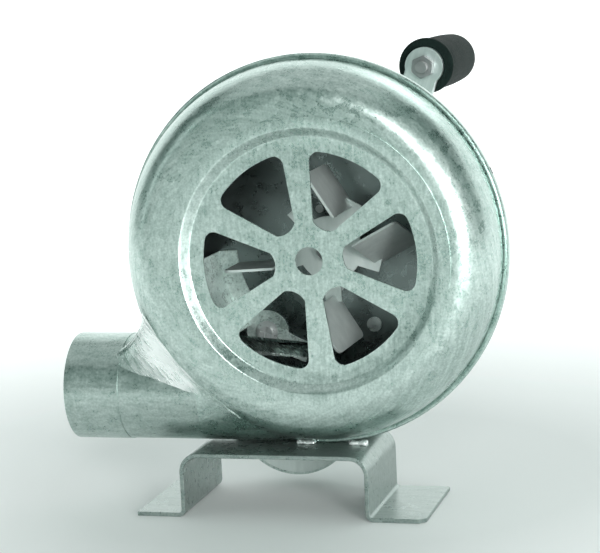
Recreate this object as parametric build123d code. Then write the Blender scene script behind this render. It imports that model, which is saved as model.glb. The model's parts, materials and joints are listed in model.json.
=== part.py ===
from build123d import *
import os
from math import acos, atan2, cos, pi, radians, sin, tan

# Hand-crank forge blower in galvanised sheet. Lengths are in millimetres.
# The parts are drawn about the fan axis, which runs along Y at x = 0, z = 0: +X is to the right seen from
# the intake, +Y runs from the intake to the crank, +Z is up. SHIFT moves the finished parts so that the
# origin is the middle of the whole object's base.

# ---- casing ----
SHEET = 1.0
SNUG = 0.02
RUNNING = 0.05
CASING_R = 89.0
CASING_X = -4.0
CASING_Z = 1.3
FRONT_Y = 1.0
SEAM_Y = 30.0
BACK_Y = 60.0
SIDE_BAND = 3.0
FRONT_FLAT_R = 71.0
BACK_FLAT_R = 72.0
RIM_R = 91.6
RIM_FRONT = 2.4
RIM_BACK = 2.0
RIM_NOTCH_ANGLES = (23.0, 158.5)
RIM_NOTCH = 3.0
RIM_NOTCH_DEPTH = 0.4
RIM_ROUND = 0.5

# ---- outlet ----
SPIGOT_R = 25.5
SPIGOT_LENGTH = 27.0
TUBE_R = 25.2
TUBE_BORE_R = 24.3
TUBE_Z = -64.2
MOUTH_X = -124.0
JOINT_X = -58.0
TAPER_X = -28.0
TAPER_END_X = 8.0
TAPER_DROP = 3.5
BRAZE = 2.6
BRAZE_FROM_X = -95.0
BRAZE_PAST_JOINT = 4.0
SPOUT_CLEAR = 0.4

# ---- intake grille ----
GRILLE_FLANGE_R = 66.0
GRILLE_WALL_TOP_R = 61.0
GRILLE_FLOOR_R = 57.0
GRILLE_DEPTH = 3.5
INTAKE_R = 62.4
CENTRE_HOLE_R = 6.5
WINDOWS = 6
SPOKE_ANGLE = 35.0
WINDOW_OUTER_R = 50.2
WINDOW_INNER_R = 16.0
SPOKE_ROOT_R = 18.0
SPOKE_ROOT_W = 8.5
SPOKE_RIM_W = 12.8
WINDOW_CORNER = 4.4
WINDOW_INNER_CORNER = 0.9
DISH_BEND = 1.4
DISH_LEAN = 0.6

# ---- stand ----
STAND_T = 2.0
STAND_FRONT = 1.0
STAND_BACK = 59.6
STAND_LEFT = -67.0
STAND_RIGHT = 24.0
STAND_DROP = 121.0
FOOT_LEFT = 22.0
FOOT_RIGHT = 26.0
PLATE_TOP = CASING_Z - RIM_R - 0.05
PLATE_BEND = 8.0
FOOT_BEND = 2.6
FOOT_CHAMFER = 3.0
WELD_R = 2.2
WELD_LENGTH = 9.0
WELD_PLACES = ((-11.0, SEAM_Y - 5.2), (14.0, SEAM_Y - 5.2), (2.0, SEAM_Y + 5.0))

# ---- tongue ----
TONGUE_R = 60.0
TONGUE_FROM = 183.0
TONGUE_TO = 221.0
TONGUE_FOOT = 9.0
TONGUE_FOOT_TO = 252.0
TONGUE_SCREW_ANGLE = 229.0
TONGUE_SCREW_REACH = 57.0
TONGUE_TAB_R = 10.5
TONGUE_FRONT = 14.0
TONGUE_SCREW_R = 2.5
TONGUE_HEAD_R = 5.5
TONGUE_HEAD_T = 3.0
TONGUE_NUT_AF = 8.0
TONGUE_NUT_T = 2.7
TONGUE_X = TONGUE_SCREW_REACH * cos(radians(TONGUE_SCREW_ANGLE))
TONGUE_Z = TONGUE_SCREW_REACH * sin(radians(TONGUE_SCREW_ANGLE))

# ---- fan ----
SHAFT_R = 3.0
# each paddle is bent by hand: angle of its root, sweep from the radius, twist from square to the disc
BLADE_BENDS = ((60.0, 62.0, -8.0), (132.0, -35.0, 20.0), (195.0, -12.0, 0.0), (272.0, 30.0, 15.0),
               (343.0, 45.0, -30.0))
BLADE_CORNER = 3.0
BLADE_OVERHANG = 2.0
BLADE_LENGTH = 24.0
BLADE_WIDTH = 27.0
BLADE_T = 1.2
BLADE_ROOT_R = 22.5
HUB_DISC_R = 15.5
HUB_DISC_Y = 42.0
ARM_W = 8.0

# ---- gear train: crank gear drives lay pinion, lay gear drives fan pinion ----
MODULE = 1.25
CRANK_TEETH = 44
LAY_TEETH = 73
PINION_TEETH = 12
PRESSURE = radians(25)
SHIFT_COEF = 0.2
ADDENDUM = 0.9
DEDENDUM = 1.2
TOOTH_THIN = 0.12
CENTRE_EXTRA = 0.1
CRANK_LEAN = 17.2
HEX_AF = 7.5
LAY_GEAR_Y = (66.0, 70.0)
FAN_PINION_Y = (65.0, 71.0)
CRANK_GEAR_Y = (74.0, 79.0)
LAY_PINION_Y = (73.0, 80.0)

FAN_TO_LAY = MODULE * (LAY_TEETH + PINION_TEETH) / 2 + CENTRE_EXTRA
LAY_TO_CRANK = MODULE * (CRANK_TEETH + PINION_TEETH) / 2 + CENTRE_EXTRA
DOWN_X = -sin(radians(CRANK_LEAN))
DOWN_Z = -cos(radians(CRANK_LEAN))
LAY_X, LAY_Z = FAN_TO_LAY * DOWN_X, FAN_TO_LAY * DOWN_Z
CRANK_X, CRANK_Z = LAY_X + LAY_TO_CRANK * DOWN_X, LAY_Z + LAY_TO_CRANK * DOWN_Z
LINE_ANGLE = atan2(DOWN_Z, DOWN_X)
LIGHT_HOLES = 6
CRANK_GEAR_HOLE_R = 5.0
CRANK_GEAR_HOLE_REACH = 16.5
LAY_GEAR_HOLE_R = 11.0
LAY_GEAR_HOLE_REACH = 26.0

# ---- gear case ----
CASE_WALL = 1.2
CASE_BACK = 84.2
CASE_FAN_R = 15.0
CASE_LAY_R = 50.0
CASE_CRANK_R = 30.5
CASE_ROUND = 6.0
PLATE_T = 2.0
EAR_R = 6.5
EAR_REACH = 4.0
BUSH_R = 5.0
FAN_BUSH_R = 6.0
CRANK_SHAFT_R = 5.0
CRANK_BUSH_R = 7.0
BOSS_R = 9.5
BOSS_BACK = 95.0
CASE_SCREW_R = 2.0
CASE_HEAD_R = 3.9
CASE_HEAD_T = 2.4
EAR_ANGLES_LAY = (8, 166)
EAR_ANGLES_FAN = (40, 115)
RIVET_R = 2.0
RIVET_HEAD_R = 3.6
RIVET_HEAD_T = 1.2
RIVET_REACH = 34.0
RIVET_ANGLES = (20, 65, 115, 345)

# ---- bushes and shaft ends ----
BUSH_END = 86.4
BUSH_FLANGE_R = 7.5
LAY_SHAFT_FRONT = 60.8
SHAFT_SHORT = 0.6
FAN_BUSH_REACH = 7.0
FAN_BUSH_FLANGE = 2.5
FAN_BUSH_FLANGE_T = 2.0
CRANK_BUSH_FLANGE_T = 1.6
CLIP_R = 6.0
CLIP_T = 1.2
SQUARE_FIT = 0.04

# ---- crank ----
ARM_LENGTH = 177.0
ARM_TILT = 20.8
CRANK_ARM_W = 16.5
ARM_END_R = 9.4
ARM_T = 3.2
ARM_Y = 97.6
SQUARE = 7.0
GRIP_BOLT_R = 3.0
GRIP_BORE_R = GRIP_BOLT_R + RUNNING
GRIP_R = 13.0
GRIP_FLANGE_R = 13.6
GRIP_GAP = 0.4
GRIP_LENGTH = 70.0
GRIP_STEP = 0.8
GRIP_BARREL_FROM = 7.6
NUT_AF = 10.0
NUT_T = 5.0
WASHER_T = 1.2
CRANK_WASHER_R = 8.0
GRIP_WASHER_R = 7.2
THREAD_PAST = 2.4
GRIP_SINK_R = 8.6
GRIP_SINK = 5.0
GRIP_HEAD_R = 6.2
GRIP_HEAD_T = 3.2
GRIP_HEAD_GAP = 0.4

GRIP_X = CRANK_X + ARM_LENGTH * sin(radians(ARM_TILT))
GRIP_Z = CRANK_Z + ARM_LENGTH * cos(radians(ARM_TILT))
GRIP_Y = ARM_Y + ARM_T + WASHER_T + GRIP_GAP
GRIP_BACK = GRIP_Y + GRIP_LENGTH

SHIFT = (-(MOUTH_X + CASING_X + RIM_R) / 2, -GRIP_BACK / 2, STAND_DROP)

os.makedirs("parts", exist_ok=True)


def write(name, shape):
    """Moves a finished part to the object's own origin and writes it."""
    export_step(Pos(*SHIFT) * shape, "parts/" + name + ".step")


def rod(radius, y_from, y_to, x=0.0, z=0.0):
    """Round bar along Y between two Y positions."""
    return Pos(x, (y_from + y_to) / 2, z) * Rot(90, 0, 0) * Cylinder(radius, y_to - y_from)


def tube(outer, inner, y_from, y_to, x=0.0, z=0.0):
    """Round tube along Y."""
    return rod(outer, y_from, y_to, x, z) - rod(inner, y_from - 1, y_to + 1, x, z)


def prism(sketch, y_from, y_to, x=0.0, z=0.0, turn=0.0):
    """A flat outline drawn with its own x and y as X and Z, made solid along Y and turned about Y."""
    solid = extrude(sketch, y_to - y_from)
    return Pos(x, y_to, z) * Rot(0, -turn, 0) * Rot(90, 0, 0) * solid


def hexagon(across_flats):
    return RegularPolygon(across_flats / 2, 6, major_radius=False)


def nut(across_flats, bore, y_from, y_to, x=0.0, z=0.0, turn=0.0):
    """Hexagon nut along Y with its corners turned off on both faces."""
    body = prism(hexagon(across_flats), y_from, y_to, x, z, turn)
    cap_r = across_flats * 0.56
    turned = across_flats * 0.05
    thick = y_to - y_from
    outline = Polyline((0, 0), (cap_r - turned, 0), (cap_r, turned), (cap_r, thick - turned),
                       (cap_r - turned, thick), (0, thick), (0, 0))
    cone = revolve(make_face(outline), Axis.Y)
    return (body & Pos(x, y_from, z) * cone) - rod(bore, y_from - 1, y_to + 1, x, z)


# ---- casing ----

def pan(inset):
    """The casing as one solid of revolution, drawn inwards by inset, with rounded shoulders."""
    front = FRONT_Y + inset
    back = BACK_Y - inset
    side = CASING_R - inset
    low_band = SEAM_Y - SIDE_BAND
    high_band = SEAM_Y + SIDE_BAND
    outline = Polyline((0, back), (0, front), (FRONT_FLAT_R, front))
    outline += EllipticalCenterArc((FRONT_FLAT_R, low_band), side - FRONT_FLAT_R, low_band - front, 270)
    outline += Line((side, low_band), (side, high_band))
    outline += EllipticalCenterArc((BACK_FLAT_R, high_band), side - BACK_FLAT_R, back - high_band, 0)
    outline += Line((BACK_FLAT_R, back), (0, back))
    return Pos(CASING_X, 0, CASING_Z) * revolve(make_face(outline), Axis.Y)


def outlet_bar(radius, x_from, x_to):
    """Solid cylinder on the outlet's axis."""
    centre = Pos((x_from + x_to) / 2, SEAM_Y, TUBE_Z)
    return centre * Rot(0, 90, 0) * Cylinder(radius, x_to - x_from)


def spout(radius, x_from):
    """Bar on the outlet's axis that tapers as it runs into the bottom of the casing."""
    length = TAPER_END_X - TAPER_X
    cone = Rot(0, 90, 0) * Cone(radius, radius - TAPER_DROP, length)
    return outlet_bar(radius, x_from, TAPER_X) + Pos(TAPER_X + length / 2, SEAM_Y, TUBE_Z) * cone


def half_space(y_from, y_to):
    return Pos(0, (y_from + y_to) / 2, 0) * Box(400, y_to - y_from, 400)


def casing_wall():
    """Pan and spout hollowed together, up to the joint with the outlet tube."""
    outer = pan(0) + spout(TUBE_R, JOINT_X)
    inner = pan(SHEET) + spout(TUBE_BORE_R, MOUTH_X)
    bore = outlet_bar(TUBE_R, MOUTH_X, JOINT_X)
    return outer - inner - bore


def front_shell(wall):
    shell = wall & half_space(-20, SEAM_Y)
    return shell - rod(INTAKE_R, -20, FRONT_Y + SHEET + 1)


def folded_rim():
    """Double fold that grips the front shell's edge, with two small notches where the fold was closed."""
    over = tube(RIM_R, CASING_R + RUNNING, SEAM_Y - RIM_FRONT, SEAM_Y, CASING_X, CASING_Z)
    under = tube(RIM_R, CASING_R - SHEET / 2, SEAM_Y, SEAM_Y + RIM_BACK, CASING_X, CASING_Z)
    rim = over + under
    rim = chamfer(rim.edges().filter_by(GeomType.CIRCLE).group_by(SortBy.RADIUS)[-1], RIM_ROUND)
    rim -= spout(TUBE_R + SPOUT_CLEAR, MOUTH_X)
    for angle in RIM_NOTCH_ANGLES:
        turn = radians(angle)
        reach = RIM_R - RIM_NOTCH_DEPTH
        place = Pos(CASING_X + reach * cos(turn), SEAM_Y, CASING_Z + reach * sin(turn))
        rim -= place * Rot(0, -angle, 0) * Box(5 * RIM_NOTCH_DEPTH, RIM_FRONT, RIM_NOTCH)
    return rim


def rear_shell(wall):
    shell = wall & half_space(SEAM_Y, BACK_Y + 20)
    shell += folded_rim()
    shell -= rod(FAN_BUSH_R, SEAM_Y, BACK_Y + 5)
    shell -= rod(TONGUE_SCREW_R, SEAM_Y, BACK_Y + 5, TONGUE_X, TONGUE_Z)
    for x, z in ear_centres():
        shell -= rod(CASE_SCREW_R, SEAM_Y, BACK_Y + 5, x, z)
    for x, z in rivet_places():
        shell -= rod(RIVET_R, SEAM_Y, BACK_Y + 5, x, z)
    return shell


def intake_grille():
    """Dished pressing: flat flange, sloped wall, flat floor with six windows and a centre hole."""
    t = SHEET
    slope = [(CENTRE_HOLE_R, GRILLE_DEPTH), (GRILLE_FLOOR_R, GRILLE_DEPTH), (GRILLE_WALL_TOP_R, 0),
             (GRILLE_FLANGE_R, 0), (GRILLE_FLANGE_R, t), (GRILLE_WALL_TOP_R + DISH_LEAN, t),
             (GRILLE_FLOOR_R + DISH_LEAN, GRILLE_DEPTH + t), (CENTRE_HOLE_R, GRILLE_DEPTH + t)]
    face = make_face(Polyline(*slope, close=True))
    bends = [v for v in face.vertices() if GRILLE_FLOOR_R - 1 < v.X < GRILLE_WALL_TOP_R + 1]
    dish = revolve(fillet(bends, DISH_BEND), Axis.Y)
    for k in range(WINDOWS):
        turn = SPOKE_ANGLE + 180 / WINDOWS + 360 / WINDOWS * k
        dish -= prism(window(), -1, GRILLE_DEPTH + 4, turn=turn)
    return dish


def spoke_edge(radius, width):
    """Point on a spoke's edge, for the window whose middle is the +x direction."""
    half = radians(180 / WINDOWS)
    return (radius * cos(half) + width / 2 * sin(half), radius * sin(half) - width / 2 * cos(half))


def window():
    """One window: curved outer edge, straight sides that widen the spoke, scalloped inner end."""
    root = spoke_edge(SPOKE_ROOT_R, SPOKE_ROOT_W)
    rim_r = (WINDOW_OUTER_R ** 2 - (SPOKE_RIM_W / 2) ** 2) ** 0.5
    rim = spoke_edge(rim_r, SPOKE_RIM_W)
    outline = Line(root, rim)
    outline += ThreePointArc(rim, (WINDOW_OUTER_R, 0), (rim[0], -rim[1]))
    outline += Line((rim[0], -rim[1]), (root[0], -root[1]))
    outline += ThreePointArc((root[0], -root[1]), (WINDOW_INNER_R, 0), root)
    face = make_face(outline)
    outer = [v for v in face.vertices() if v.X > SPOKE_ROOT_R * 1.5]
    face = fillet(outer, WINDOW_CORNER)
    inner = [v for v in face.vertices() if v.X < SPOKE_ROOT_R * 1.1]
    return fillet(inner, WINDOW_INNER_CORNER)


# ---- outlet ----

def outlet_tube():
    """Tube with a sized end that a hose slides over, cut to fit the round of the casing."""
    spigot_end = MOUTH_X + SPIGOT_LENGTH
    body = outlet_bar(SPIGOT_R, MOUTH_X, spigot_end) + outlet_bar(TUBE_R, spigot_end, JOINT_X)
    return body - outlet_bar(TUBE_BORE_R, MOUTH_X - 1, JOINT_X + 1) - pan(0)


def outlet_braze():
    """Bead of braze in the corner between the outlet tube and the round of the casing."""
    near_tube = outlet_bar(TUBE_R + BRAZE, BRAZE_FROM_X, JOINT_X + BRAZE_PAST_JOINT)
    near_casing = pan(-BRAZE)
    bead = near_tube & near_casing
    bead = bead - pan(0) - spout(TUBE_R, MOUTH_X)
    bead -= outlet_bar(SPIGOT_R, MOUTH_X, MOUTH_X + SPIGOT_LENGTH)
    bead -= folded_rim()
    return max(bead.solids(), key=lambda solid: solid.volume)


# ---- stand ----

def stand():
    """One strip bent to a hat: two feet, two legs and a top plate that the casing rests on."""
    floor = -STAND_DROP + STAND_T / 2
    top = PLATE_TOP - STAND_T / 2
    left = STAND_LEFT + STAND_T / 2
    right = STAND_RIGHT - STAND_T / 2
    points = [(STAND_LEFT - FOOT_LEFT, 0, floor), (left, 0, floor), (left, 0, top),
              (right, 0, top), (right, 0, floor), (STAND_RIGHT + FOOT_RIGHT, 0, floor)]
    path = FilletPolyline(*points, radius=[FOOT_BEND, PLATE_BEND, PLATE_BEND, FOOT_BEND])
    middle = (STAND_FRONT + STAND_BACK) / 2
    start = Plane(origin=path @ 0, x_dir=(0, 1, 0), z_dir=path % 0)
    section = start * Rectangle(STAND_BACK - STAND_FRONT, STAND_T)
    strip = Pos(0, middle, 0) * sweep(section, path=path)
    corner = Pos(STAND_RIGHT + FOOT_RIGHT, STAND_FRONT, -STAND_DROP)
    side = FOOT_CHAMFER * 2 ** 0.5
    return strip - corner * Rot(0, 0, 45) * Box(side, side, 6 * STAND_T)


def stand_welds():
    """Three beads that join the plate to the casing, in front of and behind the folded rim."""
    beads = []
    for x, y in WELD_PLACES:
        bead = Pos(x, y, PLATE_TOP) * Rot(0, 90, 0) * Cylinder(WELD_R, WELD_LENGTH)
        bead = bead - pan(0) - spout(TUBE_R, MOUTH_X) - folded_rim() - stand()
        beads.append(max(bead.solids(), key=lambda solid: solid.volume))
    return Compound(beads)


# ---- tongue ----

def sector(inner, outer, angle_from, angle_to):
    """Part of a flat ring between two angles."""
    a, b = radians(angle_from), radians(angle_to)
    middle = (a + b) / 2

    def at(r, angle):
        return (r * cos(angle), r * sin(angle))

    outline = Line(at(inner, a), at(outer, a))
    outline += ThreePointArc(at(outer, a), at(outer, middle), at(outer, b))
    outline += Line(at(outer, b), at(inner, b))
    outline += ThreePointArc(at(inner, b), at(inner, middle), at(inner, a))
    return make_face(outline)


def tongue_strip():
    """Curved cut-off wall with a foot that lies on the back wall and ends in a round tab."""
    back = BACK_Y - SHEET
    wall = prism(sector(TONGUE_R, TONGUE_R + SHEET, TONGUE_FROM, TONGUE_TO), TONGUE_FRONT, back)
    flat = sector(TONGUE_R - TONGUE_FOOT, TONGUE_R + SHEET, TONGUE_FROM, TONGUE_FOOT_TO)
    foot = prism(flat, back - SHEET, back)
    tab = rod(TONGUE_TAB_R, back - SHEET, back, TONGUE_X, TONGUE_Z)
    return wall + foot + tab - rod(TONGUE_SCREW_R, back - 3, back + 1, TONGUE_X, TONGUE_Z)


def pan_head(radius, height, y_under, x, z):
    """Pan head that faces -Y, its underside at y_under, with a cross recess."""
    side = height * 0.45
    crown_r = radius * 0.62
    face = make_face(Polyline((0, 0), (radius, 0), (radius, side), (crown_r, height), (0, height), (0, 0)))
    corners = [v for v in face.vertices() if v.X > radius / 2 and v.Y > side / 2]
    head = Rot(180, 0, 0) * revolve(fillet(corners, height / 4), Axis.Y)
    depth = height * 0.55
    for turn in (0, 90):
        slot = Box(radius, depth, radius / 5)
        head -= Pos(0, -height + depth / 2, 0) * Rot(0, turn + 20, 0) * slot
    return Pos(x, y_under, z) * head


def tongue_screw():
    back = BACK_Y - SHEET - SHEET
    end = BACK_Y + PLATE_T + TONGUE_NUT_T + 0.5
    shank = rod(TONGUE_SCREW_R - SNUG, back - 0.5, end, TONGUE_X, TONGUE_Z)
    return pan_head(TONGUE_HEAD_R, TONGUE_HEAD_T, back, TONGUE_X, TONGUE_Z) + shank


def tongue_nut():
    start = BACK_Y + PLATE_T
    return nut(TONGUE_NUT_AF, TONGUE_SCREW_R, start, start + TONGUE_NUT_T, TONGUE_X, TONGUE_Z, 12)


# ---- gears ----

def tooth_flank(teeth, shift, samples=4):
    """Root radius and (radius, half angle) pairs up one involute flank."""
    pitch = MODULE * teeth / 2
    base = pitch * cos(PRESSURE)
    tip = pitch + MODULE * (ADDENDUM + shift)
    root = pitch - MODULE * (DEDENDUM - shift)
    half = pi / (2 * teeth) + 2 * shift * tan(PRESSURE) / teeth - TOOTH_THIN / pitch
    start = max(base, root)
    flank = []
    for i in range(samples):
        radius = start + (tip - start) * i / (samples - 1)
        angle = acos(min(1.0, base / radius))
        flank.append((radius, half + tan(PRESSURE) - PRESSURE - tan(angle) + angle))
    return root, flank


def gear_outline(teeth, shift, phase):
    """Closed outline of a spur gear whose first tooth points at phase, in radians from +x."""
    root, flank = tooth_flank(teeth, shift)
    points = []
    for i in range(teeth):
        centre = phase + 2 * pi * i / teeth
        half_tooth = flank if flank[0][0] <= root else [(root, flank[0][1])] + flank
        for radius, angle in half_tooth:
            points.append((radius * cos(centre - angle), radius * sin(centre - angle)))
        for radius, angle in reversed(half_tooth):
            points.append((radius * cos(centre + angle), radius * sin(centre + angle)))
    return make_face(Polyline(*points, close=True))


def gear(teeth, shift, phase, y_span, x, z, bore):
    outline = gear_outline(teeth, shift, phase) - bore
    return prism(outline, y_span[0], y_span[1], x, z)


def light_holes(radius, reach):
    """Ring of ten-sided lightening holes, so that the gear keeps flat faces only."""
    return [Pos(reach * cos(2 * pi * k / LIGHT_HOLES), reach * sin(2 * pi * k / LIGHT_HOLES))
            * RegularPolygon(radius, 10) for k in range(LIGHT_HOLES)]


def crank_gear():
    """Large gear on the crank shaft; one of its gaps faces the layshaft."""
    towards_lay = LINE_ANGLE + pi
    phase = towards_lay + pi / CRANK_TEETH
    shape = gear(CRANK_TEETH, -SHIFT_COEF, phase, CRANK_GEAR_Y, CRANK_X, CRANK_Z, Rectangle(SQUARE, SQUARE))
    for hole in light_holes(CRANK_GEAR_HOLE_R, CRANK_GEAR_HOLE_REACH):
        shape -= prism(hole, CRANK_GEAR_Y[0] - 1, CRANK_GEAR_Y[1] + 1, CRANK_X, CRANK_Z)
    return shape


def lay_pinion():
    return gear(PINION_TEETH, SHIFT_COEF, LINE_ANGLE, LAY_PINION_Y, LAY_X, LAY_Z, hexagon(HEX_AF))


def lay_gear():
    phase = LINE_ANGLE + pi + pi / LAY_TEETH
    shape = gear(LAY_TEETH, -SHIFT_COEF, phase, LAY_GEAR_Y, LAY_X, LAY_Z, hexagon(HEX_AF))
    for hole in light_holes(LAY_GEAR_HOLE_R, LAY_GEAR_HOLE_REACH):
        shape -= prism(hole, LAY_GEAR_Y[0] - 1, LAY_GEAR_Y[1] + 1, LAY_X, LAY_Z)
    return shape


def fan_pinion():
    return gear(PINION_TEETH, SHIFT_COEF, LINE_ANGLE, FAN_PINION_Y, 0, 0, hexagon(HEX_AF))


# ---- shafts and bushes ----

def layshaft():
    ends = rod(SHAFT_R, LAY_SHAFT_FRONT, BUSH_END - SHAFT_SHORT, LAY_X, LAY_Z)
    middle = prism(hexagon(HEX_AF - SQUARE_FIT), LAY_GEAR_Y[0] - 0.8, LAY_PINION_Y[1] + 0.5, LAY_X, LAY_Z)
    return ends + middle


def fan_shaft():
    bar = rod(SHAFT_R, HUB_DISC_Y - 6.5, BUSH_END - SHAFT_SHORT)
    return bar + prism(hexagon(HEX_AF - SQUARE_FIT), FAN_PINION_Y[0] - 0.2, FAN_PINION_Y[1] + 0.4)


def fan_bush_front():
    inside = BACK_Y - SHEET
    bore = SHAFT_R + RUNNING
    body = tube(FAN_BUSH_R, bore, inside - FAN_BUSH_REACH, BACK_Y + PLATE_T + 2.3)
    return body + tube(FAN_BUSH_R + FAN_BUSH_FLANGE, bore, inside - FAN_BUSH_FLANGE_T, inside)


def cover_bush(x, z):
    """Flanged bush pushed through the gear case cover from behind."""
    body = tube(BUSH_R, SHAFT_R + RUNNING, CASE_BACK - CASE_WALL - 2, BUSH_END, x, z)
    return body + tube(BUSH_FLANGE_R, SHAFT_R + RUNNING, CASE_BACK, BUSH_END, x, z)


def lay_bush_front():
    return tube(BUSH_R, SHAFT_R + RUNNING, BACK_Y + 0.2, BACK_Y + PLATE_T + 2.4, LAY_X, LAY_Z)


def crank_bush():
    """Long bush in the boss of the cover, flanged on its inner end."""
    start = CRANK_GEAR_Y[1] + 0.4
    inner = CASE_BACK - CASE_WALL
    bore = CRANK_SHAFT_R + RUNNING
    body = tube(CRANK_BUSH_R, bore, start, BOSS_BACK + CRANK_BUSH_FLANGE_T, CRANK_X, CRANK_Z)
    return body + tube(BOSS_R, bore, inner - CRANK_BUSH_FLANGE_T, inner, CRANK_X, CRANK_Z)


def crank_shaft():
    """Round in the bush, square under the gear and the arm, threaded at the back."""
    seat = ARM_Y - 0.2
    shaft = rod(CRANK_SHAFT_R, CRANK_GEAR_Y[1] + 0.1, seat, CRANK_X, CRANK_Z)
    side = SQUARE - SQUARE_FIT
    square = Rectangle(side, side)
    shaft += prism(square, CRANK_GEAR_Y[0] - 0.1, CRANK_GEAR_Y[1] + 0.1, CRANK_X, CRANK_Z)
    shaft += prism(square, seat, ARM_Y + ARM_T - 0.3, CRANK_X, CRANK_Z, 90 - ARM_TILT)
    shaft += rod(SHAFT_R, CRANK_GEAR_Y[0] - 2.6, CRANK_GEAR_Y[0], CRANK_X, CRANK_Z)
    shaft += rod(SHAFT_R, ARM_Y + ARM_T - 1, ARM_Y + ARM_T + WASHER_T + 6.5, CRANK_X, CRANK_Z)
    return shaft


def crank_gear_clip():
    end = CRANK_GEAR_Y[0] - 0.2
    return tube(CLIP_R, SHAFT_R + SNUG, end - CLIP_T, end, CRANK_X, CRANK_Z)


# ---- gear case ----

def case_outline(inset):
    """Pear-shaped outline drawn tight round three circles, one on each shaft."""
    circles = [Pos(0, 0) * Circle(CASE_FAN_R - inset), Pos(LAY_X, LAY_Z) * Circle(CASE_LAY_R - inset),
               Pos(CRANK_X, CRANK_Z) * Circle(CASE_CRANK_R - inset)]
    return make_hull([edge for circle in circles for edge in circle.edges()])


def around(x, z, reach, angle):
    return (x + reach * cos(radians(angle)), z + reach * sin(radians(angle)))


def ear_centres():
    """Screw positions on ears round the upper part of the gear case."""
    reach = CASE_LAY_R + EAR_REACH
    sides = [around(LAY_X, LAY_Z, reach, angle) for angle in EAR_ANGLES_LAY]
    tops = [around(0, 0, CASE_FAN_R + EAR_REACH, angle) for angle in EAR_ANGLES_FAN]
    return sides + tops


def rivet_places():
    """Four rivets between the plate and the back of the casing, inside the gear case."""
    return [around(LAY_X, LAY_Z, RIVET_REACH, angle) for angle in RIVET_ANGLES]


def gear_case_plate():
    plate = prism(case_outline(CASE_WALL + 0.05), BACK_Y, BACK_Y + PLATE_T)
    plate -= rod(FAN_BUSH_R, BACK_Y - 1, BACK_Y + PLATE_T + 1)
    plate -= rod(BUSH_R, BACK_Y - 1, BACK_Y + PLATE_T + 1, LAY_X, LAY_Z)
    plate -= rod(TONGUE_SCREW_R, BACK_Y - 1, BACK_Y + PLATE_T + 1, TONGUE_X, TONGUE_Z)
    for x, z in rivet_places():
        plate -= rod(RIVET_R, BACK_Y - 1, BACK_Y + PLATE_T + 1, x, z)
    return plate


def case_rivets():
    rivets = []
    front = BACK_Y - SHEET
    back = BACK_Y + PLATE_T
    for x, z in rivet_places():
        body = rod(RIVET_R - SNUG, front - RIVET_HEAD_T / 2, back + RIVET_HEAD_T / 2, x, z)
        body += rod(RIVET_HEAD_R, front - RIVET_HEAD_T, front, x, z)
        body += rod(RIVET_HEAD_R, back, back + RIVET_HEAD_T, x, z)
        rivets.append(body)
    return Compound(rivets)


def gear_case_cover():
    """Deep pressed lid with rounded back edge, four ears, a crank boss and holes for the bushes."""
    outer = prism(case_outline(0), BACK_Y, CASE_BACK)
    outer = fillet(outer.edges().group_by(Axis.Y)[-1], CASE_ROUND)
    inner = prism(case_outline(CASE_WALL), BACK_Y - 1, CASE_BACK - CASE_WALL)
    inner = fillet(inner.edges().group_by(Axis.Y)[-1], CASE_ROUND - CASE_WALL)
    ears = [rod(EAR_R, BACK_Y, BACK_Y + CASE_WALL, x, z) for x, z in ear_centres()]
    boss = rod(BOSS_R, CASE_BACK - 1, BOSS_BACK, CRANK_X, CRANK_Z)
    boss = chamfer(boss.edges().group_by(Axis.Y)[-1], 1.0)
    lid = outer + boss
    for ear in ears:
        lid += ear
    lid -= inner
    lid -= rod(CRANK_BUSH_R, BACK_Y, BOSS_BACK + 5, CRANK_X, CRANK_Z)
    lid -= rod(BUSH_R, BACK_Y, BOSS_BACK + 5, LAY_X, LAY_Z)
    lid -= rod(BUSH_R, BACK_Y, BOSS_BACK + 5)
    for x, z in ear_centres():
        lid -= rod(CASE_SCREW_R, BACK_Y - 1, BACK_Y + 5, x, z)
    return lid


def gear_case_screws():
    """Screws through the ears into the back of the casing, with pan heads that face backwards."""
    screws = []
    under = BACK_Y + CASE_WALL
    for x, z in ear_centres():
        head = Pos(x, under, z) * Rot(180, 0, 0) * pan_head(CASE_HEAD_R, CASE_HEAD_T, 0, 0, 0)
        screws.append(head + rod(CASE_SCREW_R - SNUG, BACK_Y - SHEET - 2.6, under + 0.5, x, z))
    return Compound(screws)


# ---- impeller ----

def impeller():
    """Stamped sheet: round middle, necked arms, and paddles twisted almost square to the disc."""
    middle = HUB_DISC_Y + BLADE_T / 2
    sheet = rod(HUB_DISC_R, HUB_DISC_Y, HUB_DISC_Y + BLADE_T)
    neck = BLADE_ROOT_R - HUB_DISC_R + ARM_W
    arm = Pos((HUB_DISC_R + BLADE_ROOT_R) / 2 - 1, 0, 0) * Box(neck, BLADE_T, ARM_W)
    plate = Box(BLADE_LENGTH, BLADE_WIDTH, BLADE_T)
    plate = fillet(plate.edges().filter_by(Axis.Z).group_by(Axis.X)[-1], BLADE_CORNER)
    plate = Pos(BLADE_LENGTH / 2, (BLADE_T - BLADE_WIDTH) / 2 + BLADE_OVERHANG, 0) * plate
    for root, sweep, twist in BLADE_BENDS:
        paddle = Pos(BLADE_ROOT_R, 0, 0) * Rot(0, -sweep, 0) * Rot(twist, 0, 0) * plate
        sheet += Rot(0, -root, 0) * Pos(0, middle, 0) * (arm + paddle)
    return sheet - rod(SHAFT_R + SNUG, HUB_DISC_Y - 2, HUB_DISC_Y + 4)


def impeller_hub():
    """Turned boss behind the impeller, against the bush."""
    start = HUB_DISC_Y + BLADE_T
    end = BACK_Y - SHEET - 7.4
    body = tube(7.0, SHAFT_R + SNUG, start, end)
    return body + tube(11.0, SHAFT_R + SNUG, start, start + 2.0)


def impeller_nut():
    return nut(NUT_AF, SHAFT_R, HUB_DISC_Y - NUT_T, HUB_DISC_Y, turn=15)


# ---- crank ----

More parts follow.
